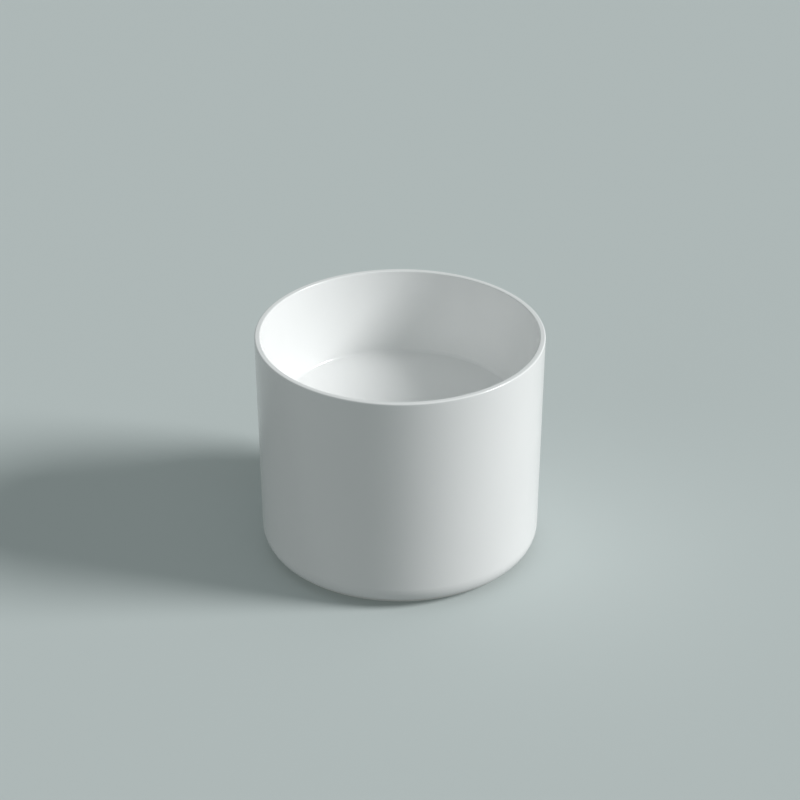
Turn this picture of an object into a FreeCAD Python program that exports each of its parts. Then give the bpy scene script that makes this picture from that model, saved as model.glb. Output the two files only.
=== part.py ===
import FreeCAD, Part
import os
from math import cos, hypot, radians, sin, tan

# Round hung basin: a white cast bowl in a cylindrical skirt, with its click waste,
# its bottle trap hidden in the skirt and its two hanger bolts. Millimetres.
# Frame: the pad at the back lies in the mounting plane Y = 0, the front is towards -Y, +Z is up.
# The origin lies in the mounting plane, midway between the two hanger bolts.

V = FreeCAD.Vector
X, Y, Z = V(1, 0, 0), V(0, 1, 0), V(0, 0, 1)

# Outside of the casting
RIM_DIAMETER = 360.0
BASIN_HEIGHT = 293.0
SKIRT_DRAFT = 1.1  # degrees that the skirt leans in towards the foot
FOOT_EDGE_RADIUS = 29.0
RIM_THICKNESS = 7.0
RIM_ROUND = 1.8
RIM_TO_PLANE = 2.0  # from the back of the rim to the mounting plane

# Bowl
BOWL_DEPTH = 103.5  # from the rim to the edge of the floor
BOWL_TAPER = 23.0  # how far the bowl's side leans in between rim and floor
BOWL_CORNER_RADIUS = 5.0
FLOOR_FALL = 14.5  # from the edge of the floor to the drain recess
FLOOR_THICKNESS = 11.0
RECESS_GAP = 2.0  # round the waste flange
RECESS_LIP_RADIUS = 2.0
DRAIN_HOLE_GAP = 2.0  # round the waste tube
DRAIN_THICKNESS = 8.5  # of the casting under the flange

# Skirt and foot
SKIRT_THICKNESS = 10.0
FOOT_THICKNESS = 12.0
FOOT_RING_WIDTH = 40.0
CAVITY_CORNER_RADIUS = 15.0
CAST_EDGE_RADIUS = 3.0

# Mounting pad
FIXING_SPACING = 140.0
FIXING_BELOW_FLOOR = 64.5  # from the edge of the bowl's floor down to the hanger bolts
FIXING_HOLE_DIAMETER = 26.0
PAD_BELOW_RIM = 88.0
PAD_ABOVE_FOOT_EDGE = 4.0
PAD_PLATE = 12.0
PAD_CORNER_RADIUS = 24.0
PAD_EDGE_RADIUS = 6.0
PAD_BLEND_RADIUS = 3.5  # where the pad meets the skirt

# Click waste
WASTE_TUBE_DIAMETER = 41.8
WASTE_TUBE_THICKNESS = 2.9
FLANGE_DIAMETER = 64.0
FLANGE_THICKNESS = 2.5
FLANGE_BEVEL = 2.0
FLANGE_SEAL_THICKNESS = 1.5
UNDER_SEAL_THICKNESS = 4.0
SLIP_WASHER_THICKNESS = 1.5
SEAL_RING_WIDTH = 12.0
SEAL_INSET = 1.0  # from the edge of what a flat seal lies on to its own edge
WASTE_NUT_WALL = 7.1  # at the middle of a flat
WASTE_NUT_HEIGHT = 7.0
SPIDER_BELOW_FLANGE = 14.0
SPIDER_HEIGHT = 8.0
SPIDER_ARM_THICKNESS = 3.0
SPIDER_ARMS = 3

# Plug and click cartridge
CAP_BELOW_FLOOR = 1.5
CAP_INSET = 1.0  # from the edge of the flange to the edge of the cap
CAP_THICKNESS = 4.7
CAP_CROWN = 1.2
CARRIER_SINK = 1.5  # depth of the carrier's seat in the cap
CARRIER_DEPTH = 1.6  # below the cap
CARRIER_BOSS_DIAMETER = 15.0
CARRIER_BOSS_DEPTH = 6.0  # below the cap
PLUG_SEAL_THICKNESS = 2.0
PLUG_SEAL_WIDTH = 6.0
PLUG_SEAL_INSET = 2.0  # from the edge of the cap to the edge of the seal
PLUG_SEAL_GAP = 0.3  # left under the seal when the plug is closed
STEM_DIAMETER = 8.0
STEM_RUNNING_GAP = 0.08
STEM_COVER = 1.0  # of the carrier over the end of the stem
CARTRIDGE_DIAMETER = 12.0
CARTRIDGE_HEAD_DIAMETER = 17.0
CARTRIDGE_HEAD_HEIGHT = 4.0
CARTRIDGE_LENGTH = 28.0
CARTRIDGE_FLOOR = 2.0
SPRING_WIRE = 0.7
SPRING_SIDE_GAP = 0.5
SPRING_TURNS = 5
SPRING_CLOSED_LENGTH = 10.0

# Bottle trap
PIPE_DIAMETER = 32.0
PIPE_THICKNESS = 1.6
COUPLING_GRIP = 13.0  # length of waste tube inside the coupling nut
NUT_GAP = 1.5  # between the waste nut and the coupling nut
COUPLING_WASHER_THICKNESS = 3.0
COUPLING_WASHER_WIDTH = 6.4
TUBE_FLANGE_THICKNESS = 2.5
NUT_LIP = 2.5
NUT_THICKNESS = 4.0
HEAD_DROP = 3.0  # from the coupling nut to the inlet nut
CONE_SEAL_HEIGHT = 6.0
CONE_SEAL_WIDTH = 4.0
NECK_THICKNESS = 5.5  # from the pipe to the outside of a threaded neck
NECK_THREAD = 8.0
CHAMBER_DIAMETER = 60.0
CHAMBER_THICKNESS = 3.0
OUTLET_BELOW_SHOULDER = 1.5
CHAMBER_BELOW_OUTLET = 4.0
CUP_THREAD = 12.0
CUP_COLLAR_WIDTH = 4.0
CUP_SEAL_THICKNESS = 2.0
CUP_DEPTH = 46.0  # from its mouth to its bottom
CUP_CORNER_RADIUS = 7.0
DIP_ABOVE_CUP = 12.0
OUTLET_NECK_LENGTH = 26.0
PIPE_SOCKET = 20.0  # length of the outlet pipe held in the trap
PIPE_PAST_PLANE = 45.0
PIPE_END_CHAMFER = 1.5
DEPTH_MARK_WIDTH = 1.5
DEPTH_MARK_DEPTH = 0.3
ROSETTE_DIAMETER = 52.0
ROSETTE_HEIGHT = 9.0
ROSETTE_SHEET = 1.2
ROSETTE_GAP = 8.0  # round the rosette, in the casting
GRIP_FLUTES = 16
FLUTE_RADIUS = 2.2

# Hanger bolts
BOLT_DIAMETER = 10.0
WOOD_THREAD_DIAMETER = 9.4
BOLT_THREAD_DEPTH = 0.6
BOLT_PAST_PLANE = 50.0
BOLT_PAST_NUT = 10.0
BOLT_TIP = 8.0
WOOD_THREAD_START = 0.5  # in front of the mounting plane
BUSH_SHORT_OF_PLANE = 1.0
BUSH_FLANGE_WIDTH = 2.5
BUSH_FLANGE_THICKNESS = 3.0
BUSH_SIDE_GAP = 2.5  # from the bush to the side of the pad
WASHER_DIAMETER = 28.0
WASHER_THICKNESS = 2.5
BOLT_NUT_ACROSS_FLATS = 17.0
BOLT_NUT_HEIGHT = 8.0

# Clearances
FIT = 0.1  # between pieces that are screwed or pushed together
LOOSE = 0.4  # round a pipe or a bolt that slides in

# Levels, from the foot up to the rim and from the bowl's floor down to the cup
FIXING_HEIGHT = BASIN_HEIGHT - BOWL_DEPTH - FIXING_BELOW_FLOOR
FOOT_Z = -FIXING_HEIGHT
RIM_Z = FOOT_Z + BASIN_HEIGHT
FLOOR_EDGE_Z = RIM_Z - BOWL_DEPTH
FLOOR_LOW_Z = FLOOR_EDGE_Z - FLOOR_FALL
CEILING_Z = FLOOR_EDGE_Z - FLOOR_THICKNESS
CAP_TOP_Z = FLOOR_LOW_Z - CAP_BELOW_FLOOR
CAP_UNDER_Z = CAP_TOP_Z - CAP_THICKNESS
FLANGE_TOP_Z = CAP_UNDER_Z - PLUG_SEAL_THICKNESS - PLUG_SEAL_GAP
FLANGE_UNDER_Z = FLANGE_TOP_Z - FLANGE_THICKNESS
SEAT_Z = FLANGE_UNDER_Z - FLANGE_SEAL_THICKNESS
DRAIN_UNDER_Z = SEAT_Z - DRAIN_THICKNESS
SLIP_WASHER_Z = DRAIN_UNDER_Z - UNDER_SEAL_THICKNESS
WASTE_NUT_Z = SLIP_WASHER_Z - SLIP_WASHER_THICKNESS
COUPLING_TOP_Z = WASTE_NUT_Z - WASTE_NUT_HEIGHT - NUT_GAP
WASTE_TAIL_Z = COUPLING_TOP_Z - COUPLING_GRIP
TUBE_TOP_Z = WASTE_TAIL_Z - COUPLING_WASHER_THICKNESS
COUPLING_LIP_Z = TUBE_TOP_Z - TUBE_FLANGE_THICKNESS
INLET_LIP_Z = COUPLING_LIP_Z - NUT_LIP - HEAD_DROP - NUT_LIP
NECK_TOP_Z = INLET_LIP_Z - CONE_SEAL_HEIGHT / 2
SHOULDER_Z = NECK_TOP_Z - NECK_THREAD
NECK_RADIUS = PIPE_DIAMETER / 2 + NECK_THICKNESS
OUTLET_Z = SHOULDER_Z - OUTLET_BELOW_SHOULDER - NECK_RADIUS
CHAMBER_UNDER_Z = OUTLET_Z - NECK_RADIUS - CHAMBER_BELOW_OUTLET
CUP_TOP_Z = CHAMBER_UNDER_Z - CUP_SEAL_THICKNESS
CUP_BOTTOM_Z = CUP_TOP_Z - CUP_DEPTH
CUP_FLOOR_Z = CUP_BOTTOM_Z + CHAMBER_THICKNESS
DIP_Z = CUP_FLOOR_Z + DIP_ABOVE_CUP
SPIDER_TOP_Z = FLANGE_TOP_Z - SPIDER_BELOW_FLANGE
CARTRIDGE_FLOOR_Z = SPIDER_TOP_Z - CARTRIDGE_LENGTH + CARTRIDGE_FLOOR

# Radii and places
RIM_RADIUS = RIM_DIAMETER / 2
AXIS_Y = -RIM_RADIUS - RIM_TO_PLANE
WASTE_RADIUS = WASTE_TUBE_DIAMETER / 2
WASTE_BORE = WASTE_RADIUS - WASTE_TUBE_THICKNESS
WASTE_NUT_ACROSS_FLATS = WASTE_TUBE_DIAMETER + 2 * WASTE_NUT_WALL
FLANGE_RADIUS = FLANGE_DIAMETER / 2
RECESS_RADIUS = FLANGE_RADIUS + RECESS_GAP
DRAIN_RADIUS = WASTE_RADIUS + DRAIN_HOLE_GAP
CAP_RADIUS = FLANGE_RADIUS - CAP_INSET
PLUG_SEAL_RADIUS = CAP_RADIUS - PLUG_SEAL_INSET
CARRIER_RADIUS = PLUG_SEAL_RADIUS - PLUG_SEAL_WIDTH - FIT
STEM_RADIUS = STEM_DIAMETER / 2
CARTRIDGE_BORE = STEM_RADIUS + STEM_RUNNING_GAP
PIPE_RADIUS = PIPE_DIAMETER / 2
PIPE_BORE = PIPE_RADIUS - PIPE_THICKNESS
CHAMBER_RADIUS = CHAMBER_DIAMETER / 2
CUP_COLLAR_RADIUS = CHAMBER_RADIUS + CUP_COLLAR_WIDTH
OUTLET_MOUTH = CHAMBER_RADIUS + OUTLET_NECK_LENGTH
BOLT_RADIUS = BOLT_DIAMETER / 2
BUSH_FLANGE_RADIUS = FIXING_HOLE_DIAMETER / 2 + BUSH_FLANGE_WIDTH
WASHER_FACE = -PAD_PLATE - BUSH_FLANGE_THICKNESS
NUT_FACE = WASHER_FACE - WASHER_THICKNESS
PAD_HALF_WIDTH = FIXING_SPACING / 2 + BUSH_FLANGE_RADIUS + BUSH_SIDE_GAP + PAD_PLATE
PAD_LOW_Z = FOOT_Z + FOOT_EDGE_RADIUS + PAD_ABOVE_FOOT_EDGE
PAD_HIGH_Z = RIM_Z - PAD_BELOW_RIM
BOLT_PLACES = (V(-FIXING_SPACING / 2, 0, 0), V(FIXING_SPACING / 2, 0, 0))
BASIN_AXIS = V(0, AXIS_Y, 0)
OUTLET_AXIS = V(0, AXIS_Y, OUTLET_Z)


def skirt_radius(z):
    """Radius of the outside of the skirt at level z."""
    return RIM_RADIUS - (RIM_Z - z) * tan(radians(SKIRT_DRAFT))


def bowl_radius(z):
    """Radius of the bowl's straight side at level z."""
    return RIM_RADIUS - RIM_THICKNESS - BOWL_TAPER * (RIM_Z - z) / BOWL_DEPTH


def foot_opening():
    """Radius of the opening in the foot."""
    return skirt_radius(FOOT_Z) - FOOT_EDGE_RADIUS - FOOT_RING_WIDTH


def outline(corners, place):
    """Closed wire through (across, along, radius) corners, each turned by a tangent arc."""
    points = [V(across, along, 0) for across, along, radius in corners]
    edges = []
    ends = []
    for i, (across, along, radius) in enumerate(corners):
        here = points[i]
        before = (points[i - 1] - here).normalize()
        after = (points[(i + 1) % len(points)] - here).normalize()
        half = before.getAngle(after) / 2
        start = here + before * (radius / tan(half))
        end = here + after * (radius / tan(half))
        ends.append((start, end))
        if radius:
            middle = here + (before + after).normalize() * (radius / sin(half) - radius)
            edges.append(Part.Arc(place(start), place(middle), place(end)).toShape())
    for i, (start, end) in enumerate(ends):
        edges.append(Part.LineSegment(place(ends[i - 1][1]), place(start)).toShape())
    return Part.Wire(Part.__sortEdges__(edges))


def turned(corners, origin, axis):
    """Solid of revolution about an axis: corners are (radius, along) or (radius, along, round)."""
    full = [(*corner, 0)[:3] for corner in corners]
    section = outline(full, lambda p: origin + X * p.x + axis * p.y)
    solid = Part.Face(section).revolve(origin, axis, 360)
    return solid if solid.Volume > 0 else solid.reversed()


def on_basin_axis(corners):
    """Turned piece on the basin's axis: corners are (radius, level)."""
    return turned(corners, BASIN_AXIS, Z)


def on_outlet_axis(corners):
    """Turned piece on the outlet's axis: corners are (radius, distance from the basin's axis)."""
    return turned(corners, OUTLET_AXIS, Y)


def ring(inner, outer, low, high, edge=0):
    """Section of a flat ring, with its outer edges rounded."""
    return [(inner, low), (outer, low, edge), (outer, high, edge), (inner, high)]


def rounded_block(half_width, low, high, corner, front, back):
    """Block with a rounded outline in X and Z, from Y = front to Y = back."""
    corners = [(-half_width, low, corner), (half_width, low, corner), (half_width, high, corner),
               (-half_width, high, corner)]
    face = Part.Face(outline(corners, lambda p: V(p.x, front, p.y)))
    return face.extrude(Y * (back - front))


def round_the_axis(radius, turns, origin, axis):
    """Point at a radius from an axis along Y or Z, some turns round it."""
    side = Z if axis == Y else Y
    return origin + X * (radius * cos(radians(360 * turns))) + side * (radius * sin(radians(360 * turns)))


def hexagon(across_flats, low, high, origin, axis):
    """Hexagonal bar about an axis, with both ends chamfered as on a nut."""
    radius = across_flats / 2 / cos(radians(30))
    points = [round_the_axis(radius, k / 6, origin + axis * low, axis) for k in range(7)]
    bar = Part.Face(Part.makePolygon(points)).extrude(axis * (high - low))
    chamfer = (radius - across_flats / 2) * tan(radians(30))
    barrel = [(0, low), (across_flats / 2, low), (radius, low + chamfer), (radius, high - chamfer),
              (across_flats / 2, high), (0, high)]
    return bar.common(turned(barrel, origin, axis))


def fluted(piece, radius, low, high, origin, axis):
    """Piece with finger flutes cut along its outside."""
    cutters = []
    for k in range(GRIP_FLUTES):
        foot = round_the_axis(radius + FLUTE_RADIUS / 2, (k + 0.5) / GRIP_FLUTES, origin + axis * low, axis)
        cutters.append(Part.makeCylinder(FLUTE_RADIUS, high - low, foot, axis))
    return piece.cut(cutters)


def edges_where(shape, test):
    """Edges whose whole length passes a test on its points."""
    return [edge for edge in shape.Edges if all(test(point) for point in edge.discretize(5))]


# The casting

def casting_outside():
    """Round skirt with the flat pad that meets the mounting plane, blended into it."""
    skirt = on_basin_axis([(0, FOOT_Z), (skirt_radius(FOOT_Z), FOOT_Z, FOOT_EDGE_RADIUS),
                           (RIM_RADIUS, RIM_Z), (0, RIM_Z)])
    pad = rounded_block(PAD_HALF_WIDTH, PAD_LOW_Z, PAD_HIGH_Z, PAD_CORNER_RADIUS, AXIS_Y, 0)
    pad = pad.makeFillet(PAD_EDGE_RADIUS, edges_where(pad, lambda p: abs(p.y) < 1e-6))

    def on_skirt(p):
        off_skirt = hypot(p.x, p.y - AXIS_Y) - skirt_radius(p.z)
        return abs(off_skirt) < 0.01 and abs(p.x) < PAD_HALF_WIDTH + 0.01 and PAD_LOW_Z < p.z + 0.01 < RIM_Z

    whole = skirt.fuse(pad).removeSplitter()
    return whole.makeFillet(PAD_BLEND_RADIUS, edges_where(whole, on_skirt))


def bowl_space():
    """Bowl, drain recess and drain hole."""
    above = RIM_Z + RIM_THICKNESS
    below = DRAIN_UNDER_Z - DRAIN_THICKNESS
    return on_basin_axis([
        (0, above),
        (bowl_radius(above), above),
        (bowl_radius(FLOOR_EDGE_Z), FLOOR_EDGE_Z, BOWL_CORNER_RADIUS),
        (RECESS_RADIUS, FLOOR_LOW_Z, RECESS_LIP_RADIUS),
        (RECESS_RADIUS, SEAT_Z),
        (DRAIN_RADIUS, SEAT_Z),
        (DRAIN_RADIUS, below),
        (0, below),
    ])


def skirt_space():
    """Hollow inside the skirt, open at the foot, with a flat boss left under the drain."""
    inside_foot = FOOT_Z + FOOT_THICKNESS
    below = FOOT_Z - FOOT_THICKNESS
    boss = RECESS_RADIUS + FLOOR_THICKNESS
    return on_basin_axis([
        (0, below),
        (foot_opening(), below),
        (foot_opening(), inside_foot, CAST_EDGE_RADIUS),
        (skirt_radius(inside_foot) - SKIRT_THICKNESS, inside_foot, FOOT_EDGE_RADIUS - SKIRT_THICKNESS),
        (skirt_radius(CEILING_Z) - SKIRT_THICKNESS, CEILING_Z, CAVITY_CORNER_RADIUS),
        (boss + FLOOR_THICKNESS, FLOOR_LOW_Z - FLOOR_THICKNESS, CAST_EDGE_RADIUS),
        (boss, DRAIN_UNDER_Z, CAST_EDGE_RADIUS),
        (0, DRAIN_UNDER_Z),
    ])


def pad_space():
    """Hollow behind the skirt, which leaves the pad as a plate."""
    return rounded_block(PAD_HALF_WIDTH - PAD_PLATE, PAD_LOW_Z + PAD_PLATE, CEILING_Z - PAD_PLATE,
                         PAD_CORNER_RADIUS - PAD_PLATE, AXIS_Y + PAD_HALF_WIDTH, -PAD_PLATE)


def through_pad(radius, x, z):
    """Round hole through the pad's plate."""
    return Part.makeCylinder(radius, 3 * PAD_PLATE, V(x, -2 * PAD_PLATE, z), Y)


def basin_body():
    """One white casting: bowl, skirt, foot and pad."""
    holes = [through_pad(ROSETTE_DIAMETER / 2 + ROSETTE_GAP, 0, OUTLET_Z)]
    for place in BOLT_PLACES:
        holes.append(through_pad(FIXING_HOLE_DIAMETER / 2, place.x, place.z))
    body = casting_outside().cut([bowl_space(), skirt_space(), pad_space()]).cut(holes)
    rim = edges_where(body, lambda p: abs(p.z - RIM_Z) < 1e-6)
    foot = edges_where(body, lambda p: abs(p.z - FOOT_Z) < 1e-6 and
                       abs(hypot(p.x, p.y - AXIS_Y) - foot_opening()) < 1e-3)
    return body.makeFillet(RIM_ROUND, rim).makeFillet(CAST_EDGE_RADIUS, foot)


# The click waste

def waste_body():
    """Flanged outlet tube with a spider across it that carries the click cartridge."""
    tube = on_basin_axis([
        (WASTE_BORE, WASTE_TAIL_Z),
        (WASTE_RADIUS, WASTE_TAIL_Z),
        (WASTE_RADIUS, FLANGE_UNDER_Z),
        (FLANGE_RADIUS, FLANGE_UNDER_Z, FLANGE_THICKNESS / 4),
        (FLANGE_RADIUS, FLANGE_TOP_Z, FLANGE_THICKNESS / 3),
        (WASTE_BORE + FLANGE_BEVEL, FLANGE_TOP_Z),
        (WASTE_BORE, FLANGE_TOP_Z - FLANGE_BEVEL),
    ])
    low = SPIDER_TOP_Z - SPIDER_HEIGHT
    boss = Part.makeCylinder(CARTRIDGE_HEAD_DIAMETER / 2, SPIDER_HEIGHT, V(0, AXIS_Y, low))
    arms = []
    for k in range(SPIDER_ARMS):
        arm = Part.makeBox(WASTE_BORE + WASTE_TUBE_THICKNESS / 2, SPIDER_ARM_THICKNESS, SPIDER_HEIGHT,
                           V(0, AXIS_Y - SPIDER_ARM_THICKNESS / 2, low))
        arm.rotate(BASIN_AXIS, Z, 360 / SPIDER_ARMS * k + 90)
        arms.append(arm)
    hole = Part.makeCylinder(CARTRIDGE_DIAMETER / 2 + FIT, 3 * SPIDER_HEIGHT, V(0, AXIS_Y, low - SPIDER_HEIGHT))
    return tube.fuse(arms + [boss]).cut(hole).removeSplitter()


def flange_seal():
    """Rubber ring under the waste flange."""
    return on_basin_axis(ring(WASTE_RADIUS + FIT, FLANGE_RADIUS - SEAL_INSET, SEAT_Z, FLANGE_UNDER_Z))


def under_seal():
    """Thick rubber ring under the casting."""
    return on_basin_axis(ring(WASTE_RADIUS + FIT, WASTE_RADIUS + SEAL_RING_WIDTH, SLIP_WASHER_Z,
                              DRAIN_UNDER_Z))


def slip_washer():
    """Smooth washer that lets the nut turn on the rubber."""
    return on_basin_axis(ring(WASTE_RADIUS + FIT, WASTE_RADIUS + SEAL_RING_WIDTH, WASTE_NUT_Z, SLIP_WASHER_Z))


def waste_nut():
    """Hexagon nut that clamps the waste to the casting."""
    low = WASTE_NUT_Z - WASTE_NUT_HEIGHT
    bore = Part.makeCylinder(WASTE_RADIUS + FIT, 3 * WASTE_NUT_HEIGHT, V(0, AXIS_Y, low - WASTE_NUT_HEIGHT))
    return hexagon(WASTE_NUT_ACROSS_FLATS, low, WASTE_NUT_Z, BASIN_AXIS, Z).cut(bore)


def click_cartridge():
    """Sleeve screwed into the spider, in which the stem clicks up and down."""
    top = SPIDER_TOP_Z + CARTRIDGE_HEAD_HEIGHT
    foot = SPIDER_TOP_Z - CARTRIDGE_LENGTH
    outside = CARTRIDGE_DIAMETER / 2
    head = hexagon(CARTRIDGE_HEAD_DIAMETER, SPIDER_TOP_Z, top, BASIN_AXIS, Z)
    sleeve = on_basin_axis([(0, foot), (outside, foot, CARTRIDGE_FLOOR / 2), (outside, top), (0, top)])
    space = Part.makeCylinder(CARTRIDGE_BORE, 2 * CARTRIDGE_LENGTH, V(0, AXIS_Y, CARTRIDGE_FLOOR_Z))
    return head.fuse(sleeve).cut(space).removeSplitter()


def click_spring():
    """Compression spring under the stem, held down while the plug is closed."""
    radius = CARTRIDGE_BORE - SPRING_SIDE_GAP - SPRING_WIRE / 2
    low = CARTRIDGE_FLOOR_Z + SPRING_WIRE / 2 + FIT
    rise = SPRING_CLOSED_LENGTH - SPRING_WIRE - 2 * FIT

    def along(turns):
        return round_the_axis(radius, turns, BASIN_AXIS + Z * (low + rise * turns / SPRING_TURNS), Z)

    quarters = [k / 4 for k in range(4 * SPRING_TURNS)]
    arcs = [Part.Arc(along(q), along(q + 1 / 8), along(q + 1 / 4)).toShape() for q in quarters]
    start = arcs[0].tangentAt(arcs[0].FirstParameter)
    section = Part.Wire(Part.makeCircle(SPRING_WIRE / 2, along(0), start))
    return Part.Wire(arcs).makePipeShell([section], True, False)


def plug_cap():
    """White glazed cap with a slight crown, hollowed below for the carrier."""
    edge = CAP_THICKNESS / 3
    seat = CAP_UNDER_Z + CARRIER_SINK
    return on_basin_axis([
        (0, seat),
        (CARRIER_RADIUS + FIT, seat),
        (CARRIER_RADIUS + FIT, CAP_UNDER_Z),
        (CAP_RADIUS, CAP_UNDER_Z, edge / 2),
        (CAP_RADIUS, CAP_TOP_Z - CAP_CROWN, edge),
        (CAP_RADIUS / 2, CAP_TOP_Z - CAP_CROWN / 4, CAP_RADIUS),
        (0, CAP_TOP_Z),
    ])


def plug_carrier():
    """Metal disc glued under the cap, which centres the seal and takes the stem."""
    top = CAP_UNDER_Z + CARRIER_SINK
    under = CAP_UNDER_Z - CARRIER_DEPTH
    boss_under = CAP_UNDER_Z - CARRIER_BOSS_DEPTH
    boss = CARRIER_BOSS_DIAMETER / 2
    return on_basin_axis([
        (STEM_RADIUS + FIT, boss_under),
        (boss, boss_under, CARRIER_SINK / 3),
        (boss, under),
        (CARRIER_RADIUS, under, CARRIER_DEPTH / 4),
        (CARRIER_RADIUS, top),
        (0, top),
        (0, top - STEM_COVER),
        (STEM_RADIUS + FIT, top - STEM_COVER),
    ])


def plug_seal():
    """Rubber ring under the cap."""
    return on_basin_axis(ring(CARRIER_RADIUS + FIT, PLUG_SEAL_RADIUS, CAP_UNDER_Z - PLUG_SEAL_THICKNESS,
                              CAP_UNDER_Z, PLUG_SEAL_THICKNESS / 4))


def plug_stem():
    """Rod screwed into the carrier that runs in the click cartridge and stands on the spring."""
    top = CAP_UNDER_Z + CARRIER_SINK - STEM_COVER
    low = CARTRIDGE_FLOOR_Z + SPRING_CLOSED_LENGTH
    return on_basin_axis([(0, low), (STEM_RADIUS, low, STEM_RADIUS / 4), (STEM_RADIUS, top), (0, top)])


# The bottle trap

def coupling_nut():
    """Fluted nut that pulls the trap's inlet tube up against the waste."""
    outside = WASTE_RADIUS + NUT_THICKNESS
    low = COUPLING_LIP_Z - NUT_LIP
    nut = on_basin_axis([
        (PIPE_RADIUS + LOOSE, low),
        (outside, low, NUT_LIP / 2),
        (outside, COUPLING_TOP_Z, NUT_LIP / 2),
        (WASTE_RADIUS + FIT, COUPLING_TOP_Z),
        (WASTE_RADIUS + FIT, COUPLING_LIP_Z),
        (PIPE_RADIUS + LOOSE, COUPLING_LIP_Z),
    ])
    return fluted(nut, outside, low, COUPLING_TOP_Z, BASIN_AXIS, Z)


def coupling_washer():
    """Rubber washer between the waste and the inlet tube."""
    outside = WASTE_RADIUS - FIT
    return on_basin_axis(ring(outside - COUPLING_WASHER_WIDTH, outside, TUBE_TOP_Z, WASTE_TAIL_Z))


def inlet_tube():
    """Flanged dip tube from the waste down into the cup."""
    return on_basin_axis([
        (PIPE_BORE, DIP_Z),
        (PIPE_RADIUS, DIP_Z),
        (PIPE_RADIUS, COUPLING_LIP_Z),
        (WASTE_RADIUS - FIT, COUPLING_LIP_Z),
        (WASTE_RADIUS - FIT, TUBE_TOP_Z),
        (PIPE_BORE, TUBE_TOP_Z),
    ])


def pressure_nut(lip):
    """Section of a nut on a trap neck: lip is the inner face of its closed end."""
    inside = NECK_RADIUS + FIT
    mouth = lip - CONE_SEAL_HEIGHT / 2 - NECK_THREAD + FIT
    return [
        (PIPE_RADIUS + LOOSE, lip + NUT_LIP),
        (inside + NUT_THICKNESS, lip + NUT_LIP, NUT_LIP / 2),
        (inside + NUT_THICKNESS, mouth, NUT_LIP / 3),
        (inside, mouth),
        (inside, lip),
        (PIPE_RADIUS + LOOSE, lip),
    ]


def cone_seal(lip):
    """Section of a tapered seal that lies against a nut's lip and narrows into the neck."""
    inner = PIPE_RADIUS + FIT
    return [
        (inner, lip),
        (inner + CONE_SEAL_WIDTH, lip),
        (inner + CONE_SEAL_WIDTH, lip - CONE_SEAL_HEIGHT / 2),
        (inner + CONE_SEAL_WIDTH / 3, lip - CONE_SEAL_HEIGHT),
        (inner, lip - CONE_SEAL_HEIGHT),
    ]


def neck(mouth, root):
    """Section of a threaded neck from its mouth to its root, with a tapered seat for the seal."""
    seat = PIPE_RADIUS + CONE_SEAL_WIDTH + 2 * FIT
    throat = PIPE_RADIUS + LOOSE
    seal_slope = CONE_SEAL_HEIGHT / 2 / (CONE_SEAL_WIDTH * 2 / 3)
    return [(seat, mouth), (NECK_RADIUS, mouth), (NECK_RADIUS, root), (throat, root),
            (throat, mouth - (seat - throat) * seal_slope)]


def nut_grip(nut, lip, origin, axis):
    """Pressure nut with its finger flutes."""
    low = lip - CONE_SEAL_HEIGHT / 2 - NECK_THREAD
    return fluted(nut, NECK_RADIUS + FIT + NUT_THICKNESS, low, lip + NUT_LIP, origin, axis)


def inlet_nut():
    """Nut that seals the inlet tube in the trap head."""
    return nut_grip(on_basin_axis(pressure_nut(INLET_LIP_Z)), INLET_LIP_Z, BASIN_AXIS, Z)


def inlet_seal():
    """Tapered seal round the inlet tube."""
    return on_basin_axis(cone_seal(INLET_LIP_Z))


def trap_head():
    """Moulded head of the trap: inlet neck, chamber, outlet neck, collar and the thread for the cup."""
    inside = CHAMBER_RADIUS - CHAMBER_THICKNESS
    roof = SHOULDER_Z - CHAMBER_THICKNESS
    throat = PIPE_RADIUS + LOOSE
    collar_top = CHAMBER_UNDER_Z + CHAMBER_THICKNESS
    shell = on_basin_axis([
        (throat, SHOULDER_Z),
        (CHAMBER_RADIUS, SHOULDER_Z, OUTLET_BELOW_SHOULDER),
        (CHAMBER_RADIUS, collar_top),
        (CUP_COLLAR_RADIUS, collar_top, CHAMBER_THICKNESS / 3),
        (CUP_COLLAR_RADIUS, CHAMBER_UNDER_Z),
        (CHAMBER_RADIUS, CHAMBER_UNDER_Z),
        (CHAMBER_RADIUS, CHAMBER_UNDER_Z - CUP_THREAD),
        (inside, CHAMBER_UNDER_Z - CUP_THREAD),
        (inside, roof),
        (throat, roof),
    ])
    inlet = on_basin_axis(neck(NECK_TOP_Z, roof))
    socket_floor = OUTLET_MOUTH - PIPE_SOCKET
    outlet = on_outlet_axis(neck(OUTLET_MOUTH, socket_floor))
    root = on_outlet_axis(ring(0, NECK_RADIUS, PIPE_RADIUS, socket_floor))
    chamber = Part.makeCylinder(inside, SHOULDER_Z - CHAMBER_UNDER_Z, V(0, AXIS_Y, CHAMBER_UNDER_Z))
    passage = on_outlet_axis(ring(0, PIPE_BORE, 0, OUTLET_MOUTH))
    return shell.fuse([inlet, outlet, root.cut(chamber)]).cut(passage).removeSplitter()


def cup_seal():
    """Flat rubber ring between the trap head and the cup."""
    return on_basin_axis(ring(CHAMBER_RADIUS + FIT, CUP_COLLAR_RADIUS - SEAL_INSET, CUP_TOP_Z, CHAMBER_UNDER_Z))


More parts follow.
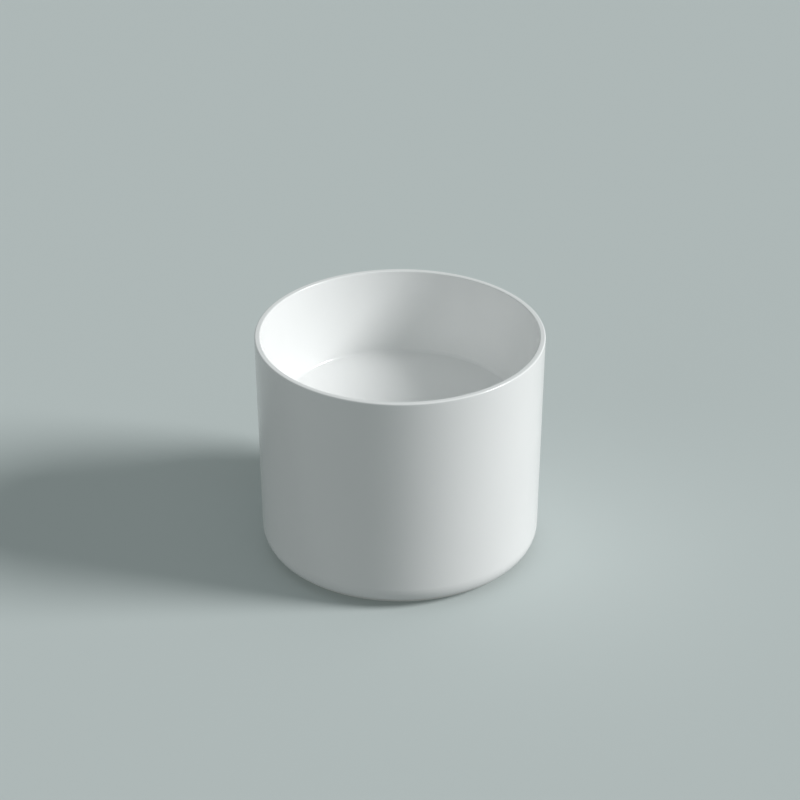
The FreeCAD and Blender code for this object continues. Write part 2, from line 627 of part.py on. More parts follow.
def trap_cup():
    """Cup with a fluted collar that screws off to clean the trap."""
    step = CUP_TOP_Z - CUP_THREAD
    collar_low = step - CHAMBER_THICKNESS
    inside = CHAMBER_RADIUS - CHAMBER_THICKNESS
    cup = on_basin_axis([
        (0, CUP_BOTTOM_Z),
        (CHAMBER_RADIUS, CUP_BOTTOM_Z, CUP_CORNER_RADIUS),
        (CHAMBER_RADIUS, collar_low),
        (CUP_COLLAR_RADIUS, collar_low, CHAMBER_THICKNESS / 2),
        (CUP_COLLAR_RADIUS, CUP_TOP_Z, CHAMBER_THICKNESS / 4),
        (CHAMBER_RADIUS + FIT, CUP_TOP_Z),
        (CHAMBER_RADIUS + FIT, step),
        (inside, step),
        (inside, CUP_FLOOR_Z, CUP_CORNER_RADIUS - CHAMBER_THICKNESS),
        (0, CUP_FLOOR_Z),
    ])
    return fluted(cup, CUP_COLLAR_RADIUS, collar_low, CUP_TOP_Z, BASIN_AXIS, Z)


def outlet_lip():
    """Distance from the basin's axis to the inner face of the outlet nut's lip."""
    return OUTLET_MOUTH + CONE_SEAL_HEIGHT / 2


def outlet_nut():
    """Nut that seals the outlet pipe in the trap head."""
    return nut_grip(on_outlet_axis(pressure_nut(outlet_lip())), outlet_lip(), OUTLET_AXIS, Y)


def outlet_seal():
    """Tapered seal round the outlet pipe."""
    return on_outlet_axis(cone_seal(outlet_lip()))


def outlet_pipe():
    """Straight pipe from the trap through the pad, with a depth mark at the mounting plane."""
    plane = -AXIS_Y
    end = plane + PIPE_PAST_PLANE
    start = OUTLET_MOUTH - PIPE_SOCKET + FIT
    mark = PIPE_RADIUS - DEPTH_MARK_DEPTH
    return on_outlet_axis([
        (PIPE_BORE, start),
        (PIPE_RADIUS, start),
        (PIPE_RADIUS, plane - DEPTH_MARK_WIDTH),
        (mark, plane - DEPTH_MARK_WIDTH),
        (mark, plane),
        (PIPE_RADIUS, plane),
        (PIPE_RADIUS, end - PIPE_END_CHAMFER),
        (PIPE_RADIUS - PIPE_THICKNESS / 2, end),
        (PIPE_BORE, end),
    ])


def pipe_rosette():
    """Pressed sheet cover round the pipe, flat on the mounting plane."""
    plane = -AXIS_Y
    edge = ROSETTE_DIAMETER / 2
    collar = PIPE_RADIUS + LOOSE
    crown = plane - ROSETTE_HEIGHT
    bend = ROSETTE_SHEET * 2
    return on_outlet_axis([
        (collar, crown),
        (edge - ROSETTE_HEIGHT / 2, crown, bend + ROSETTE_SHEET),
        (edge, plane),
        (edge - ROSETTE_SHEET, plane),
        (edge - ROSETTE_HEIGHT / 2 - ROSETTE_SHEET / 2, crown + ROSETTE_SHEET, bend),
        (collar, crown + ROSETTE_SHEET),
    ])


# The hanger bolts

def at_each_bolt(section):
    """Pair of turned pieces, one on each hanger bolt: corners are (radius, Y)."""
    return Part.makeCompound([turned(section, place, Y) for place in BOLT_PLACES])


def hanger_bolts():
    """Bolts with a wood thread behind the plane, a plain waist and a machine thread for the nut."""
    front = NUT_FACE - BOLT_NUT_HEIGHT - BOLT_PAST_NUT
    waist = BOLT_RADIUS - BOLT_THREAD_DEPTH
    wood = WOOD_THREAD_DIAMETER / 2
    return at_each_bolt([
        (0, front),
        (waist, front),
        (BOLT_RADIUS, front + BOLT_THREAD_DEPTH),
        (BOLT_RADIUS, WASHER_FACE),
        (waist, WASHER_FACE),
        (waist, -WOOD_THREAD_START),
        (wood, -WOOD_THREAD_START),
        (wood, BOLT_PAST_PLANE - BOLT_TIP),
        (0, BOLT_PAST_PLANE),
    ])


def bolt_bushes():
    """Plastic bushes that fill the casting's holes and spread the load."""
    bore = BOLT_RADIUS + LOOSE
    sleeve = FIXING_HOLE_DIAMETER / 2 - FIT
    return at_each_bolt([
        (bore, WASHER_FACE),
        (BUSH_FLANGE_RADIUS, WASHER_FACE, BUSH_FLANGE_THICKNESS / 4),
        (BUSH_FLANGE_RADIUS, -PAD_PLATE),
        (sleeve, -PAD_PLATE),
        (sleeve, -BUSH_SHORT_OF_PLANE, BUSH_SHORT_OF_PLANE),
        (bore, -BUSH_SHORT_OF_PLANE),
    ])


def bolt_washers():
    """Steel washers under the nuts."""
    return at_each_bolt(ring(BOLT_RADIUS + LOOSE, WASHER_DIAMETER / 2, NUT_FACE, WASHER_FACE,
                             WASHER_THICKNESS / 5))


def bolt_nuts():
    """Hexagon nuts that draw the casting to the mounting plane."""
    low = NUT_FACE - BOLT_NUT_HEIGHT
    nuts = []
    for place in BOLT_PLACES:
        bore = Part.makeCylinder(BOLT_RADIUS + FIT, 3 * BOLT_NUT_HEIGHT, place + Y * (low - BOLT_NUT_HEIGHT), Y)
        nuts.append(hexagon(BOLT_NUT_ACROSS_FLATS, low, NUT_FACE, place, Y).cut(bore))
    return Part.makeCompound(nuts)


PIECES = (
    basin_body, waste_body, flange_seal, under_seal, slip_washer, waste_nut, click_cartridge,
    click_spring, plug_cap, plug_carrier, plug_seal, plug_stem, coupling_nut, coupling_washer,
    inlet_tube, inlet_nut, inlet_seal, trap_head, cup_seal, trap_cup, outlet_nut, outlet_seal,
    outlet_pipe, pipe_rosette, hanger_bolts, bolt_bushes, bolt_washers, bolt_nuts,
)

os.makedirs("parts", exist_ok=True)
for piece in PIECES:
    shape = piece()
    shape.exportStep(os.path.join("parts", piece.__name__ + ".step"))
    print(f"{piece.__name__:16s} solids {len(shape.Solids)} valid {shape.isValid()} mm3 {shape.Volume:.0f}")
print(f"axis Y {AXIS_Y:.2f} outlet Z {OUTLET_Z:.2f} cap top Z {CAP_TOP_Z:.2f} pad half width {PAD_HALF_WIDTH:.2f}")
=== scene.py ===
from math import copysign, cos, pi, radians, sin, tan

import bmesh
import bpy
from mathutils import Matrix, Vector


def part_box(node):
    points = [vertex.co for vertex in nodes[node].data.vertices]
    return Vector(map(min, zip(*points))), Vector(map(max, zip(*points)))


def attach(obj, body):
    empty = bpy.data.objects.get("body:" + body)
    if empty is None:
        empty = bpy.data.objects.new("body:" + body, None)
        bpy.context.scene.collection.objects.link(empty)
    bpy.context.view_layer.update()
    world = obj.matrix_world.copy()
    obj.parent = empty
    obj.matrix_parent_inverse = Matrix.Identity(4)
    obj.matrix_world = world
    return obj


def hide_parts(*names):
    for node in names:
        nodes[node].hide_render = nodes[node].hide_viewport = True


# A round white basin, hung by two bolts behind its pad, with a click waste and a bottle trap in its skirt.
# Metres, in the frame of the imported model: the mounting plane is Y = 0, the front is towards -Y, +Z is up.
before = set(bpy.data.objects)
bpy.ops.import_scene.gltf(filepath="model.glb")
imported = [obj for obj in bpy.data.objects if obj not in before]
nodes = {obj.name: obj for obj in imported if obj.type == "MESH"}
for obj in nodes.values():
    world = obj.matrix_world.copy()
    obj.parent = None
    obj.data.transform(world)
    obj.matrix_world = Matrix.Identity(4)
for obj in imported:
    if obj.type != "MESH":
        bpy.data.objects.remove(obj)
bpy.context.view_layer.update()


# The casting: bowl, skirt, foot and mounting pad in one hollow piece of vitreous china, slip cast in a
# plaster mould and fired once under a white glaze. The foot ring and the face of the pad are ground flat
# after firing and stay bare, and the hollow only took the thin coat that ran into it.
CASTING_LOW, CASTING_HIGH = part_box("basin_body")
RIM_RADIUS = (CASTING_HIGH.x - CASTING_LOW.x) / 2
RIM_Z = CASTING_HIGH.z
FOOT_Z = CASTING_LOW.z
AXIS = Vector((0, CASTING_LOW.y + RIM_RADIUS, 0))
SKIRT_LEAN = tan(radians(1.1))  # inwards, for each metre down
SKIRT_MIDDLE = 0.005  # from the outside of the skirt to the middle of its wall
FLOOR_MIDDLE_Z = RIM_Z - 0.1292  # middle of the bowl's floor, carried on down to the axis
FLOOR_SLOPE = 0.127  # rise of the floor, for each metre out from the axis
BOSS_MIDDLE_Z = RIM_Z - 0.1348  # middle of the thick boss round the drain
BOSS_RADIUS = 0.0395
GROUND_DEPTH = 0.0002  # height of the bare strip beside a ground face
GLAZE_EDGE = 0.0002  # width of the glaze's soft edge beside that strip
SEAM_REACH = 0.0001  # how near the closing line of a turned face a corner counts as on it
MERGE_DISTANCE = 1e-6
HOLLOW_ROUGHNESS = 0.4
BARE_ROUGHNESS = 0.85
WHITE_GLAZE = (0.885, 0.892, 0.889, 1)
THIN_GLAZE = (0.72, 0.71, 0.685, 1)
BARE_CHINA = (0.73, 0.695, 0.64, 1)


def add_node(tree, kind, inputs=(), **settings):
    """Shader node with its settings. Each input is a number, a colour or another node's output."""
    node = tree.nodes.new("ShaderNode" + kind)
    for name, value in settings.items():
        setattr(node, name, value)
    for name, value in dict(inputs).items():
        if isinstance(value, bpy.types.NodeSocket):
            tree.links.new(value, node.inputs[name])
        else:
            node.inputs[name].default_value = value
    return node


def calculate(tree, operation, first, second=0.0):
    """Output of a Math node."""
    return add_node(tree, "Math", {0: first, 1: second}, operation=operation).outputs[0]


def ramp(tree, value, start, end, low=0.0, high=1.0):
    """Smooth step of a value from low at start to high at end."""
    inputs = {"Value": value, "From Min": start, "From Max": end, "To Min": low, "To Max": high}
    return add_node(tree, "MapRange", inputs, interpolation_type="SMOOTHSTEP").outputs["Result"]


def blend_colours(tree, mask, first, second):
    """Colour that goes from the first to the second as the mask goes from 0 to 1."""
    return add_node(tree, "Mix", {0: mask, 6: first, 7: second}, data_type="RGBA").outputs[2]


def radius_and_level(tree, place):
    """Distance of a place from the Z axis, and its level."""
    flat = add_node(tree, "VectorMath", {0: place, 1: (1, 1, 0)}, operation="MULTIPLY").outputs[0]
    radius = add_node(tree, "VectorMath", {0: flat}, operation="LENGTH").outputs["Value"]
    return radius, add_node(tree, "SeparateXYZ", {0: place}).outputs["Z"]


def new_group(name, output, kind, **inputs):
    """Shader node group: its tree, its input sockets by name, and a call that links its output."""
    group = bpy.data.node_groups.new(name, "ShaderNodeTree")
    group.interface.new_socket(name="Vector", in_out="INPUT", socket_type="NodeSocketVector")
    for socket, form in inputs.items():
        group.interface.new_socket(name=socket, in_out="INPUT", socket_type="NodeSocket" + form)
    group.interface.new_socket(name=output, in_out="OUTPUT", socket_type="NodeSocket" + kind)
    starts = group.nodes.new("NodeGroupInput").outputs
    ends = group.nodes.new("NodeGroupOutput").inputs

    def close(socket):
        group.links.new(socket, ends[output])
        return group

    return group, starts, close


def noise(tree, vector, scale, detail):
    """Soft noise between about 0.3 and 0.7."""
    return add_node(tree, "TexNoise", {"Vector": vector, "Scale": scale, "Detail": detail}).outputs[0]


def clouded_colour():
    """Colour that drifts a little lighter and darker in soft clouds."""
    tree, given, close = new_group("clouded_colour", "Result", "Color",
                                   Colour="Color", Scale="Float", Spread="Float")
    clouds = noise(tree, given["Vector"], given["Scale"], detail=3.0)
    drift = ramp(tree, clouds, start=0.3, end=0.7, low=-1.0, high=1.0)
    level = calculate(tree, "ADD", calculate(tree, "MULTIPLY", drift, given["Spread"]), 1.0)
    scaled = add_node(tree, "VectorMath", {0: given["Colour"], "Scale": level}, operation="SCALE")
    return close(scaled.outputs[0])


def surface_grain():
    """Height of a surface: long soft waves with a share of fine grain on them."""
    tree, given, close = new_group("surface_grain", "Height", "Float",
                                   Waves="Float", Grain="Float", Share="Float")
    waves = noise(tree, given["Vector"], given["Waves"], detail=1.0)
    grain = noise(tree, given["Vector"], given["Grain"], detail=2.0)
    return close(calculate(tree, "ADD", waves, calculate(tree, "MULTIPLY", grain, given["Share"])))


def handled_roughness():
    """Roughness between a clean and a smudged value, in soft patches."""
    tree, given, close = new_group("handled_roughness", "Roughness", "Float",
                                   Clean="Float", Smudged="Float", Scale="Float")
    patches = noise(tree, given["Vector"], given["Scale"], detail=5.0)
    roughness = ramp(tree, patches, start=0.35, end=0.7, low=given["Clean"], high=given["Smudged"])
    return close(roughness)


CLOUDED_COLOUR = clouded_colour()
SURFACE_GRAIN = surface_grain()
HANDLED_ROUGHNESS = handled_roughness()


class Finish:
    """A new material: its node tree, its shader, the place on the piece and that place from the axis."""

    def __init__(self, name):
        self.material = bpy.data.materials.new(name)
        self.material.use_nodes = True
        self.tree = self.material.node_tree
        self.shader = self.tree.nodes["Principled BSDF"]
        self.place = add_node(self.tree, "TexCoord").outputs["Object"]
        from_axis = add_node(self.tree, "VectorMath", {0: self.place, 1: AXIS}, operation="SUBTRACT")
        self.from_axis = from_axis.outputs[0]

    def effect(self, group, place=None, **inputs):
        """Output of a shared group placed in this material."""
        node = self.tree.nodes.new("ShaderNodeGroup")
        node.node_tree = group
        self.tree.links.new(place or self.place, node.inputs["Vector"])
        for name, value in inputs.items():
            if isinstance(value, bpy.types.NodeSocket):
                self.tree.links.new(value, node.inputs[name])
            else:
                node.inputs[name].default_value = value
        return node.outputs[0]

    def feed(self, name, output):
        """Links an output to a socket of the shader."""
        self.tree.links.new(output, self.shader.inputs[name])

    def bump(self, height, depth):
        """Relief of a given depth over the whole surface."""
        relief = add_node(self.tree, "Bump", {"Height": height, "Distance": depth, "Strength": 1.0})
        self.feed("Normal", relief.outputs[0])


def white_glaze():
    """Fired white glaze, thin inside the hollow and ground away on the foot and the pad's face."""
    finish = Finish("white_glaze")
    tree = finish.tree
    radius, level = radius_and_level(tree, finish.from_axis)
    lean = calculate(tree, "MULTIPLY", calculate(tree, "SUBTRACT", RIM_Z, level), SKIRT_LEAN)
    wall_middle = calculate(tree, "SUBTRACT", RIM_RADIUS - SKIRT_MIDDLE, lean)
    inside_skirt = calculate(tree, "LESS_THAN", radius, wall_middle)
    over_boss = ramp(tree, radius, BOSS_RADIUS, BOSS_RADIUS - GLAZE_EDGE)
    rise = calculate(tree, "MULTIPLY", radius, FLOOR_SLOPE)
    floor_middle = calculate(tree, "ADD", rise, FLOOR_MIDDLE_Z)
    ceiling = ramp(tree, over_boss, 0.0, 1.0, floor_middle, BOSS_MIDDLE_Z)
    under_bowl = calculate(tree, "LESS_THAN", level, ceiling)
    hollow = calculate(tree, "MULTIPLY", inside_skirt, under_bowl)
    depth = add_node(tree, "SeparateXYZ", {0: finish.place}).outputs["Y"]
    on_foot = ramp(tree, level, FOOT_Z + GROUND_DEPTH + GLAZE_EDGE, FOOT_Z + GROUND_DEPTH)
    on_pad = ramp(tree, depth, -GROUND_DEPTH - GLAZE_EDGE, -GROUND_DEPTH)
    bare = calculate(tree, "MAXIMUM", on_foot, on_pad)

    coated = blend_colours(tree, hollow, WHITE_GLAZE, THIN_GLAZE)
    colour = blend_colours(tree, bare, coated, BARE_CHINA)
    finish.feed("Base Color", finish.effect(CLOUDED_COLOUR, Colour=colour, Scale=9.0, Spread=0.006))
    glossy = finish.effect(HANDLED_ROUGHNESS, Clean=0.18, Smudged=0.24, Scale=11.0)
    satin = calculate(tree, "MULTIPLY", hollow, HOLLOW_ROUGHNESS)
    matt = calculate(tree, "MULTIPLY", bare, BARE_ROUGHNESS)
    finish.feed("Roughness", calculate(tree, "MAXIMUM", glossy, calculate(tree, "MAXIMUM", satin, matt)))
    finish.bump(finish.effect(SURFACE_GRAIN, Waves=22.0, Grain=620.0, Share=0.12), depth=0.00005)
    finish.shader.inputs["IOR"].default_value = 1.52
    return finish.material


def add_piece(data, name):
    """Object of a finished mesh, at the origin."""
    piece = bpy.data.objects.new(name, data)
    bpy.context.scene.collection.objects.link(piece)
    return piece


def seamless_casting(material):
    """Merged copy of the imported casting, shaded smoothly where its turned faces close, at +X."""
    data = nodes["basin_body"].data.copy()
    shading = data.attributes.new("shading", "FLOAT_VECTOR", "CORNER").data
    for corner in data.loops:
        normal = data.corner_normals[corner.index].vector.copy()
        place = data.vertices[corner.vertex_index].co - AXIS
        if place.x > 0 and abs(place.y) < SEAM_REACH:
            normal.y = 0
        shading[corner.index].vector = normal.normalized()
    mesh = bmesh.new()
    mesh.from_mesh(data)
    bmesh.ops.remove_doubles(mesh, verts=mesh.verts, dist=MERGE_DISTANCE)
    mesh.to_mesh(data)
    mesh.free()
    data.normals_split_custom_set([corner.vector for corner in data.attributes["shading"].data])
    data.attributes.remove(data.attributes["shading"])
    data.materials.clear()
    data.materials.append(material)
    return add_piece(data, "glazed_casting")


GLAZE_FINISH = white_glaze()
glazed_casting = seamless_casting(GLAZE_FINISH)
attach(glazed_casting, "basin")
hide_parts("basin_body")


# The click waste: a brass turning, polished and chromed, whose flange lies in the bowl's recess and whose
# tube runs down through the casting. A spider across the tube carries the cartridge.
CHROME = (0.78, 0.79, 0.80, 1)


def polished_chrome():
    """Polished chrome plate with faint smears."""
    finish = Finish("polished_chrome")
    finish.feed("Base Color", finish.effect(CLOUDED_COLOUR, Colour=CHROME, Scale=30.0, Spread=0.02))
    finish.feed("Roughness", finish.effect(HANDLED_ROUGHNESS, Clean=0.05, Smudged=0.14, Scale=60.0))
    finish.bump(finish.effect(SURFACE_GRAIN, Waves=90.0, Grain=1800.0, Share=0.05), depth=0.00001)
    finish.shader.inputs["Metallic"].default_value = 1.0
    return finish.material


def dress(material, *names):
    """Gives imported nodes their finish."""
    for name in names:
        slots = nodes[name].data.materials
        slots.clear()
        slots.append(material)


CHROME_FINISH = polished_chrome()
dress(CHROME_FINISH, "waste_body")


# Rubber rings of the waste, stamped from sheet: a thin one under the flange and a thick one under the
# casting, squeezed between the flange and the nut.
RUBBER = (0.022, 0.022, 0.023, 1)


def black_rubber():
    """Matt black sheet rubber with a grey bloom."""
    finish = Finish("black_rubber")
    finish.feed("Base Color", finish.effect(CLOUDED_COLOUR, Colour=RUBBER, Scale=70.0, Spread=0.35))
    finish.feed("Roughness", finish.effect(HANDLED_ROUGHNESS, Clean=0.55, Smudged=0.8, Scale=90.0))
    finish.bump(finish.effect(SURFACE_GRAIN, Waves=300.0, Grain=2600.0, Share=0.5), depth=0.00004)
    return finish.material


RUBBER_FINISH = black_rubber()
dress(RUBBER_FINISH, "flange_seal", "under_seal")


# The slip washer, moulded in white polypropylene like the trap below it, lets the waste nut turn on the
# rubber without dragging it round.
PLASTIC = (0.80, 0.80, 0.775, 1)


def moulded_plastic():
    """Moulded white polypropylene with a fine satin grain."""
    finish = Finish("moulded_plastic")
    finish.feed("Base Color", finish.effect(CLOUDED_COLOUR, Colour=PLASTIC, Scale=45.0, Spread=0.02))
    finish.feed("Roughness", finish.effect(HANDLED_ROUGHNESS, Clean=0.28, Smudged=0.42, Scale=50.0))
    finish.bump(finish.effect(SURFACE_GRAIN, Waves=60.0, Grain=1500.0, Share=0.25), depth=0.00003)
    finish.shader.inputs["IOR"].default_value = 1.49
    return finish.material


PLASTIC_FINISH = moulded_plastic()
dress(PLASTIC_FINISH, "slip_washer")


# The waste nut: turned and milled from brass bar and left bare, with the fine rings of the lathe on it.
# It screws up the waste tube and clamps the casting between the two rubber rings.
BRASS = (0.70, 0.53, 0.26, 1)
LATHE_PITCH = 0.0006


def turning_marks():
    """Height of the fine rings that a lathe leaves round a Z axis."""
    tree, given, close = new_group("turning_marks", "Height", "Float", Pitch="Float")
    radius, level = radius_and_level(tree, given["Vector"])
    turns = calculate(tree, "DIVIDE", calculate(tree, "ADD", radius, level), given["Pitch"])
    return close(calculate(tree, "SINE", calculate(tree, "MULTIPLY", turns, 2 * pi)))


TURNING_MARKS = turning_marks()


def turned_brass():
    """Bare brass, turned about the basin's axis and a little dulled."""
    finish = Finish("turned_brass")
    finish.feed("Base Color", finish.effect(CLOUDED_COLOUR, Colour=BRASS, Scale=80.0, Spread=0.12))
    finish.feed("Roughness", finish.effect(HANDLED_ROUGHNESS, Clean=0.22, Smudged=0.42, Scale=70.0))
    finish.bump(finish.effect(TURNING_MARKS, place=finish.from_axis, Pitch=LATHE_PITCH), depth=0.000012)
    finish.shader.inputs["Metallic"].default_value = 1.0
    return finish.material


BRASS_FINISH = turned_brass()
dress(BRASS_FINISH, "waste_nut")


# The click cartridge, turned in brass and screwed into the spider, and the steel spring that lifts the
# stem in it.
STEEL = (0.60, 0.615, 0.635, 1)


def zinc_steel():
    """Zinc-plated steel with a faint crystal bloom."""
    finish = Finish("zinc_steel")
    finish.feed("Base Color", finish.effect(CLOUDED_COLOUR, Colour=STEEL, Scale=260.0, Spread=0.10))
    finish.feed("Roughness", finish.effect(HANDLED_ROUGHNESS, Clean=0.25, Smudged=0.45, Scale=180.0))
    finish.bump(finish.effect(SURFACE_GRAIN, Waves=400.0, Grain=2400.0, Share=0.4), depth=0.00002)
    finish.shader.inputs["Metallic"].default_value = 1.0
    return finish.material


STEEL_FINISH = zinc_steel()
dress(BRASS_FINISH, "click_cartridge")
dress(STEEL_FINISH, "click_spring")


# The plug: a white glazed cap glued to a brass carrier, with a rubber ring under its edge and a brass stem
# that clicks up and down in the cartridge.
dress(GLAZE_FINISH, "plug_cap")
dress(BRASS_FINISH, "plug_carrier", "plug_stem")
dress(RUBBER_FINISH, "plug_seal")


# The bottle trap, injection moulded in white polypropylene: a fluted coupling nut, a dip tube with its
# pressure nut, the head with its two necks and a cup that screws off. Rubber seals sit between them.
dress(PLASTIC_FINISH, "coupling_nut", "inlet_tube", "inlet_nut", "trap_head", "trap_cup")
dress(RUBBER_FINISH, "coupling_washer", "inlet_seal", "cup_seal")


# The outlet: a straight plastic pipe, sealed in the trap's neck by its own nut, that runs back through the
# pad to the drain. A chromed rosette of pressed sheet covers the gap round it.
dress(PLASTIC_FINISH, "outlet_nut", "outlet_pipe")
dress(RUBBER_FINISH, "outlet_seal")
dress(CHROME_FINISH, "pipe_rosette")


# The hanger bolts: zinc-plated steel with a coarse wood thread behind the plane, a plain waist in the
# casting and a fine machine thread in front, rolled on the bar.
BOLTS_LOW, BOLTS_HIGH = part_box("hanger_bolts")
WAIST_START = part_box("bolt_washers")[1].y
BOLT_RADIUS = (BOLTS_HIGH.z - BOLTS_LOW.z) / 2
BOLT_SIDE = BOLTS_HIGH.x - BOLT_RADIUS
BOLT_SEGMENTS = 32
BOLT_CHAMFER = 0.0008
MACHINE_PITCH = 0.0015
MACHINE_ROOT = BOLT_RADIUS - 0.0009
MACHINE_FLANK = 0.45  # half the ridge's foot, as a share of the pitch
WAIST_RADIUS = 0.0044
WOOD_PITCH = 0.0040
WOOD_RADIUS = 0.0047
WOOD_ROOT = 0.0034
WOOD_FLANK = 0.30
WOOD_START = -0.0005
TIP_LENGTH = 0.008
TIP_Y = BOLTS_HIGH.y - TIP_LENGTH
CREST = 0.05  # half the ridge's crest, as a share of the pitch
RIDGE_SINK = 0.0001  # how far a ridge's foot lies inside the core
SHARP_ANGLE = radians(40)  # between two faces, from which their edge stays sharp


def bolt_core(mesh, centre):
    """Solid bolt without its threads, spun about its own axis."""
    front = BOLTS_LOW.y
    section = [(0, front), (MACHINE_ROOT - BOLT_CHAMFER, front), (MACHINE_ROOT, front + BOLT_CHAMFER),
               (MACHINE_ROOT, WAIST_START), (WAIST_RADIUS, WAIST_START), (WAIST_RADIUS, WOOD_START),
               (WOOD_ROOT, WOOD_START), (WOOD_ROOT, TIP_Y), (0, BOLTS_HIGH.y)]
    points = [mesh.verts.new(centre + Vector((radius, along, 0))) for radius, along in section]
    lines = [mesh.edges.new(pair) for pair in zip(points, points[1:])]
    bmesh.ops.spin(mesh, geom=points + lines, cent=centre, axis=(0, 1, 0), angle=2 * pi,
                   steps=BOLT_SEGMENTS, use_merge=True)


def thread_ridge(mesh, centre, root, crest, pitch, flank, start, end):
    """Helical ridge with a pointed section, from start to end along the bolt."""
    turns = int((end - start) / pitch - 2 * flank)
    section = [(root - RIDGE_SINK, -flank), (crest, -CREST), (crest, CREST), (root - RIDGE_SINK, flank)]
    points = []
    for radius, share in section:
        points.append(mesh.verts.new(centre + Vector((radius, start + pitch * (flank + share), 0))))
    lines = [mesh.edges.new((points[i - 1], points[i])) for i in range(len(points))]
    bmesh.ops.spin(mesh, geom=points + lines, cent=centre, axis=(0, 1, 0), angle=2 * pi * turns,
                   dvec=(0, pitch / BOLT_SEGMENTS, 0), steps=BOLT_SEGMENTS * turns, use_merge=False)


def draw_in_tips(mesh):
    """Draws the end of each bolt's wood thread in to the point."""
    for vertex in mesh.verts:
        if TIP_Y < vertex.co.y:
            left = (BOLTS_HIGH.y - vertex.co.y) / TIP_LENGTH
            side = copysign(BOLT_SIDE, vertex.co.x)
            vertex.co.x = side + (vertex.co.x - side) * left
            vertex.co.z *= left


def close_up(mesh):
    """Merges doubles, closes open ends and turns the faces outwards."""
    bmesh.ops.remove_doubles(mesh, verts=mesh.verts, dist=MERGE_DISTANCE)
    bmesh.ops.holes_fill(mesh, edges=[edge for edge in mesh.edges if edge.is_boundary], sides=4)
    bmesh.ops.recalc_face_normals(mesh, faces=mesh.faces)


def make_piece(mesh, name, material):
    """Object of a finished mesh, smooth but for its sharp edges."""
    data = bpy.data.meshes.new(name)
    mesh.to_mesh(data)
    mesh.free()
    data.shade_smooth()
    data.set_sharp_from_angle(angle=SHARP_ANGLE)
    data.materials.append(material)
    return add_piece(data, name)


bolts = bmesh.new()
for bolt_x in (-BOLT_SIDE, BOLT_SIDE):
    bolt_axis = Vector((bolt_x, 0, 0))
    bolt_core(bolts, bolt_axis)
    thread_ridge(bolts, bolt_axis, MACHINE_ROOT, BOLT_RADIUS, MACHINE_PITCH, MACHINE_FLANK,
                 BOLTS_LOW.y + BOLT_CHAMFER, WAIST_START)
    thread_ridge(bolts, bolt_axis, WOOD_ROOT, WOOD_RADIUS, WOOD_PITCH, WOOD_FLANK, WOOD_START, BOLTS_HIGH.y)
close_up(bolts)
draw_in_tips(bolts)
threaded_bolts = make_piece(bolts, "threaded_bolts", STEEL_FINISH)
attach(threaded_bolts, "basin")
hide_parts("hanger_bolts")


# What clamps the casting on the bolts: a plastic bush that fills each hole, a steel washer and a hexagon
# nut on the machine thread.
dress(PLASTIC_FINISH, "bolt_bushes")
dress(STEEL_FINISH, "bolt_washers", "bolt_nuts")


# The studio: a plain pale floor under the foot, a large soft lamp to the right of the camera and an even
# light all round. Three weak lamps help it: one overhead, one at the front left that fills the bowl, and
# a low one at the right for the light off the floor, which is clear below so that foot and hollow show.
FLOOR_HALF = 30.0
FLOOR_GAP = 0.0002  # under the foot, so that the two faces don't coincide
FLOOR_COLOUR = (0.595, 0.65, 0.645, 1)
SKY_COLOUR = (0.88, 0.985, 0.98, 1)
SKY_LEVEL = 0.25
BACKDROP_COLOUR = (0.445, 0.50, 0.495, 1)
LAMP_TURN = 83.0  # degrees round from the camera, to its right
LAMP_HEIGHT = 30.0  # degrees above the floor
LAMP_SPREAD = 20.0  # degrees across, as the basin sees it
LAMP_LEVEL = 0.808  # what a white card that faces the lamp gives back
OVERHEAD_SPREAD = 65.0
OVERHEAD_LEVEL = 0.058
FILL_TURN = -45.0
FILL_HEIGHT = 20.0  # low, so that it reaches the bowl's wall and not its floor
FILL_SPREAD = 40.0
FILL_LEVEL = 0.066
BOUNCE_TURN = 100.0
BOUNCE_HEIGHT = -8.0  # low, so that none of it enters the bowl
BOUNCE_SPREAD = 28.0
BOUNCE_LEVEL = 0.14
CAMERA_TURN = -31.4  # degrees round from straight in front
CAMERA_TILT = 29.0  # degrees down
CAMERA_DISTANCE = 3.746
CAMERA_LENS = 136.5
CAMERA_DROP = 0.0819  # from the rim's centre down to the middle of the picture, across the view


def direction(turn, height):
    """Direction from the basin to a place some degrees round and some degrees up."""
    level = cos(radians(height))
    return Vector((sin(radians(turn)) * level, -cos(radians(turn)) * level, sin(radians(height))))


def pale_floor():
    """Flat floor under the foot that shows only from above, and lets the even light through to the foot."""
    mesh = bmesh.new()
    bmesh.ops.create_grid(mesh, x_segments=1, y_segments=1, size=FLOOR_HALF)
    bmesh.ops.translate(mesh, verts=mesh.verts, vec=(0, 0, FOOT_Z - FLOOR_GAP))
    finish = Finish("pale_floor")
    tree = finish.tree
    finish.shader.inputs["Base Color"].default_value = FLOOR_COLOUR
    finish.shader.inputs["Roughness"].default_value = 0.9
    finish.shader.inputs["Specular IOR Level"].default_value = 0.1
    path = add_node(tree, "LightPath").outputs
    below = add_node(tree, "NewGeometry").outputs["Backfacing"]
    even = calculate(tree, "MAXIMUM", path["Is Diffuse Ray"], path["Is Shadow Ray"])
    passing = calculate(tree, "MAXIMUM", below, even)
    clear = add_node(tree, "BsdfTransparent").outputs[0]
    mixed = add_node(tree, "MixShader", {0: passing, 1: finish.shader.outputs[0], 2: clear})
    tree.links.new(mixed.outputs[0], tree.nodes["Material Output"].inputs["Surface"])
    return make_piece(mesh, "floor", finish.material)


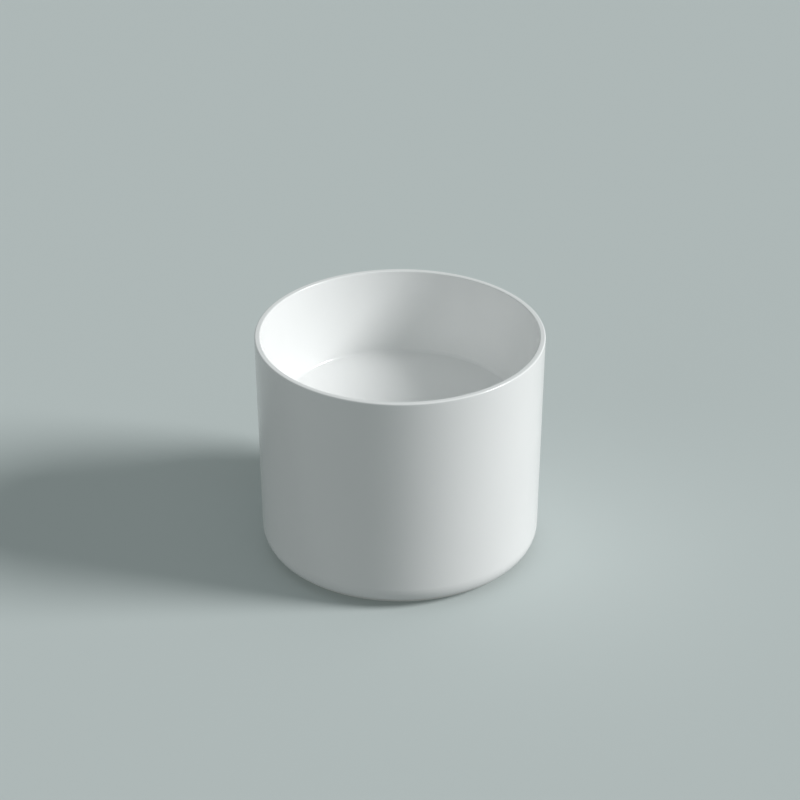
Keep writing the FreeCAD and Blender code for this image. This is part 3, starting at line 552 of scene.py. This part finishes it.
def even_light():
    """Even light from all round, with a plain backdrop beyond the floor."""
    world = bpy.data.worlds.new("even_light")
    world.use_nodes = True
    tree = world.node_tree
    light = tree.nodes["Background"]
    light.inputs["Color"].default_value = SKY_COLOUR
    light.inputs["Strength"].default_value = SKY_LEVEL
    backdrop = add_node(tree, "Background", {"Color": BACKDROP_COLOUR, "Strength": 1.0})
    path = add_node(tree, "LightPath").outputs
    seen = calculate(tree, "MAXIMUM", path["Is Camera Ray"], path["Is Glossy Ray"])
    mixed = add_node(tree, "MixShader", {0: seen, 1: light.outputs[0], 2: backdrop.outputs[0]})
    tree.links.new(mixed.outputs[0], tree.nodes["World Output"].inputs["Surface"])
    bpy.context.scene.world = world


def soft_lamp(name, toward, spread, level, mirrored):
    """Large round lamp, so far off that it lights the whole floor alike, mirrored in the glaze or not."""
    data = bpy.data.lights.new(name, "SUN")
    data.angle = radians(spread)
    data.energy = level * pi
    lamp = bpy.data.objects.new(name, data)
    lamp.rotation_euler = toward.to_track_quat("Z", "Y").to_euler()
    lamp.visible_glossy = mirrored
    bpy.context.scene.collection.objects.link(lamp)


def long_camera(rim_centre):
    """Long lens from the left of the front, looking down into the bowl."""
    data = bpy.data.cameras.new("camera")
    data.sensor_width = 36.0
    data.lens = CAMERA_LENS
    data.clip_end = 200.0
    camera = bpy.data.objects.new("camera", data)
    back = direction(CAMERA_TURN, CAMERA_TILT)
    turn = back.to_track_quat("Z", "Y")
    up = turn @ Vector((0, 1, 0))
    camera.location = rim_centre - up * CAMERA_DROP + back * CAMERA_DISTANCE
    camera.rotation_euler = turn.to_euler()
    bpy.context.scene.collection.objects.link(camera)
    bpy.context.scene.camera = camera


pale_floor()
even_light()
soft_lamp("side_lamp", direction(CAMERA_TURN + LAMP_TURN, LAMP_HEIGHT),
          LAMP_SPREAD, LAMP_LEVEL, mirrored=True)
soft_lamp("overhead_lamp", direction(0, 90),
          OVERHEAD_SPREAD, OVERHEAD_LEVEL, mirrored=True)
soft_lamp("fill_lamp", direction(CAMERA_TURN + FILL_TURN, FILL_HEIGHT),
          FILL_SPREAD, FILL_LEVEL, mirrored=False)
soft_lamp("bounce_lamp", direction(CAMERA_TURN + BOUNCE_TURN, BOUNCE_HEIGHT),
          BOUNCE_SPREAD, BOUNCE_LEVEL, mirrored=False)
long_camera(AXIS + Vector((0, 0, RIM_Z)))
bpy.context.scene.view_settings.view_transform = "Standard"
